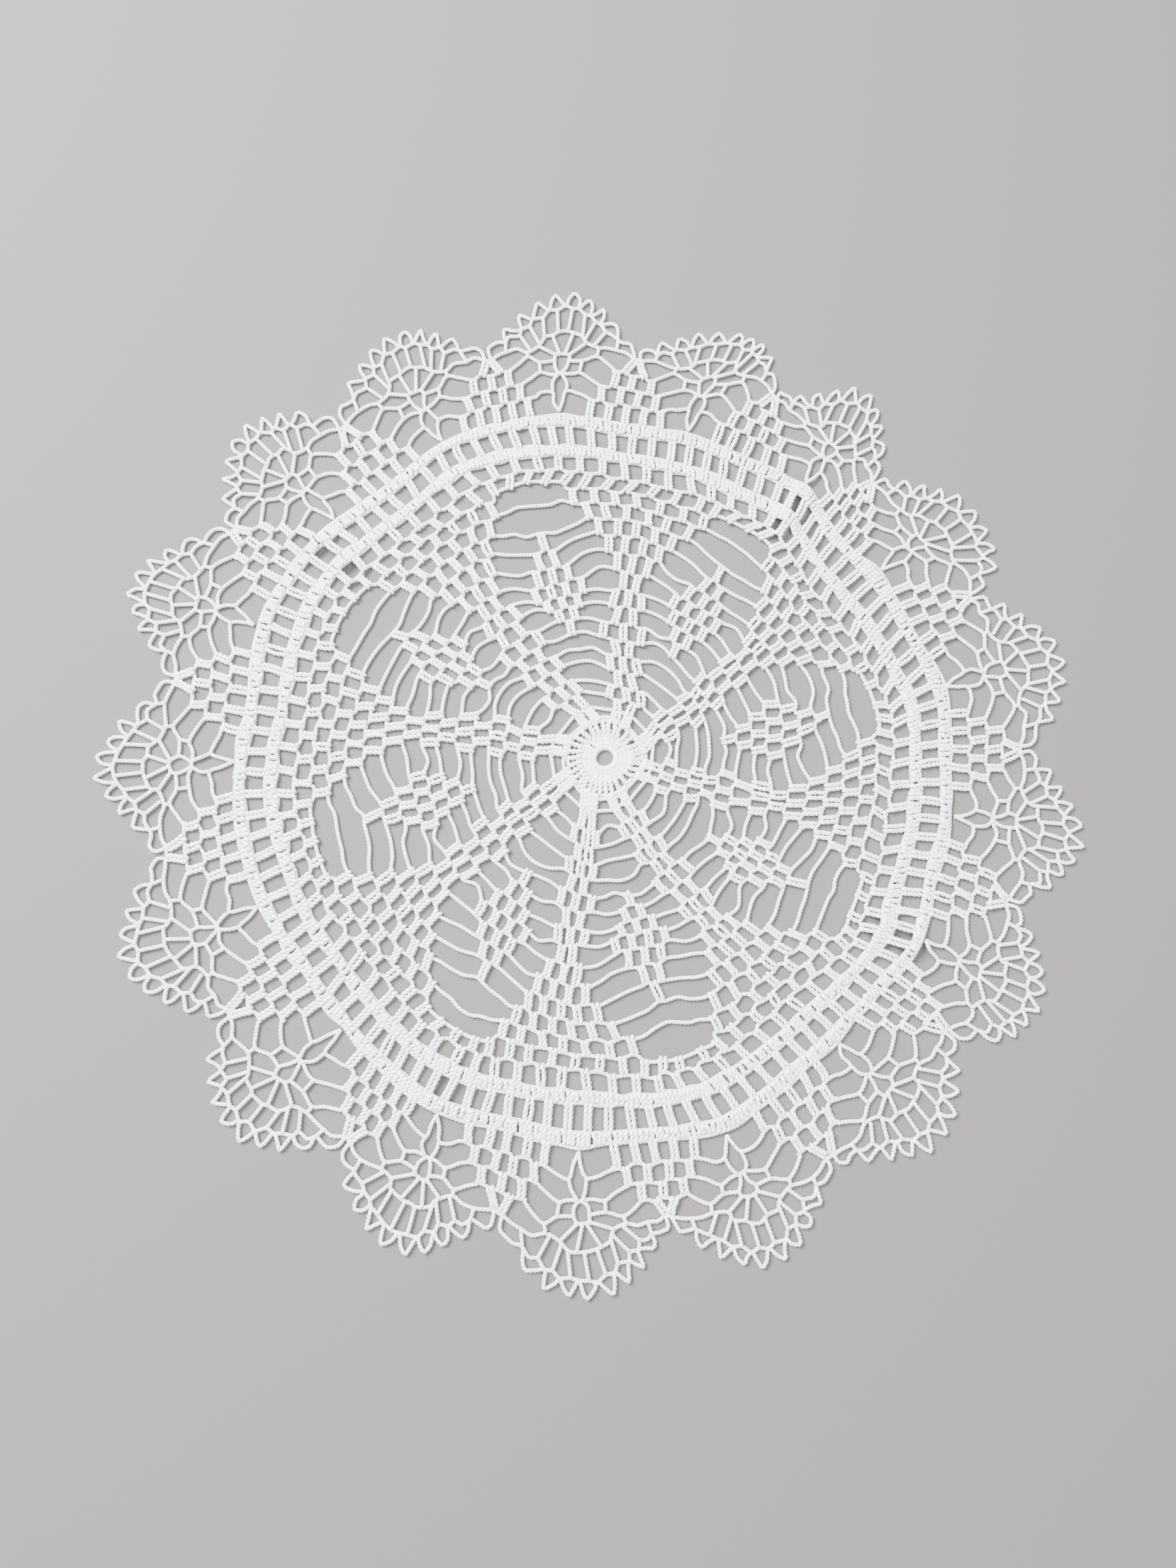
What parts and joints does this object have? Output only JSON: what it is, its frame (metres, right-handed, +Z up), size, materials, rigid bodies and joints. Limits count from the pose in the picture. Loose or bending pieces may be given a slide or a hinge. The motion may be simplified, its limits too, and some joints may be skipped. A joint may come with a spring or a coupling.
{
  "type": "lace doily",
  "caption": "Round crocheted lace doily lying flat, with spoked openwork, solid bands, a ladder ring and a border of pointed fans.",
  "frame": {"origin": "middle of the outline's box, on the surface that the doily lies on; the middle ring of the lace is 4 mm to +X of it", "axes": "+Z up out of the face, +Y away from someone who stands at the table's near side, +X to their right"},
  "size_m": [0.3116, 0.3246, 0.0036],
  "materials": {
    "lace_doily": "matt white crochet cotton"
  },
  "bodies": {
    "root": {"lace_doily": "lace_doily"}
  },
  "joints": []
}
